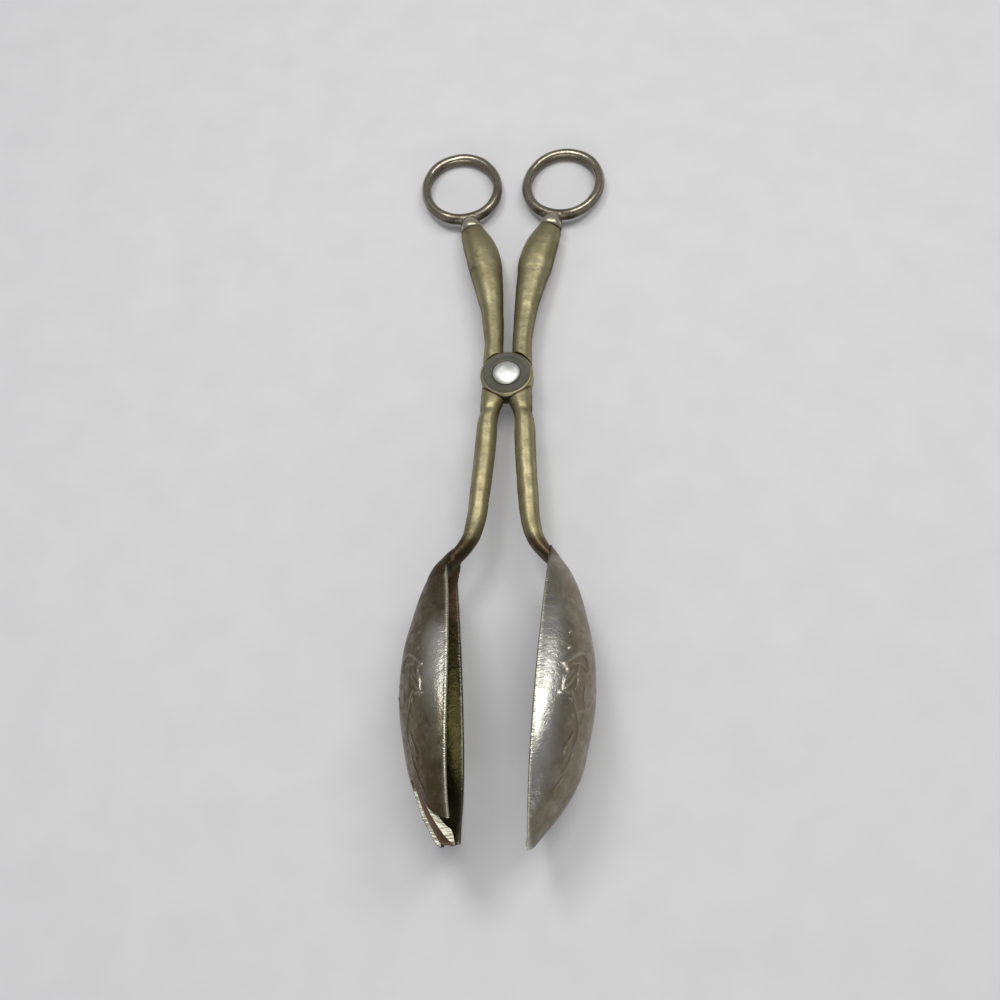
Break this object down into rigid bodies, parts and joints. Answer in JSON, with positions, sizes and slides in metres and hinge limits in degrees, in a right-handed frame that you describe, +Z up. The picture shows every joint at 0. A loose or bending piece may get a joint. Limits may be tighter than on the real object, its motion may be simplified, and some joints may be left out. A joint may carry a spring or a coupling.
{
  "type": "salad tongs",
  "caption": "Scissor salad tongs: riveted crossing arms with finger rings, a deep leaf-shaped spoon bowl and a matching slotted fork bowl facing each other.",
  "frame": {"origin": "middle of the footprint of the closed pair lying flat, on the plane it lies on", "axes": "+Y towards the finger rings, -Y towards the bowls, +Z up, +X to the side of the spoon bowl"},
  "size_m": [0.0718, 0.2678, 0.0433],
  "materials": {
    "arm_brass": "satin, worn and darkened",
    "ring_brass": "satin, worn bright on top",
    "bowl_plate": "worn plate with tarnish and fine scratches",
    "rivet": "polished, lightly scratched",
    "burr": "satin"
  },
  "bodies": {
    "rear_half": {"rear_arm": "arm_brass", "right_finger_ring": "ring_brass", "fork_bowl": "bowl_plate", "pivot_rivet": "rivet", "rivet_burr": "burr"},
    "front_half": {"front_arm": "arm_brass", "left_finger_ring": "ring_brass", "spoon_bowl": "bowl_plate"}
  },
  "joints": [
    {"name": "pivot", "type": "hinge", "parent": "rear_half", "child": "front_half", "pos_m": [0, 0.02669, 0.01109], "axis": [0, 0.0839, 0.9965], "range_deg": [-4.2, 50]}
  ]
}
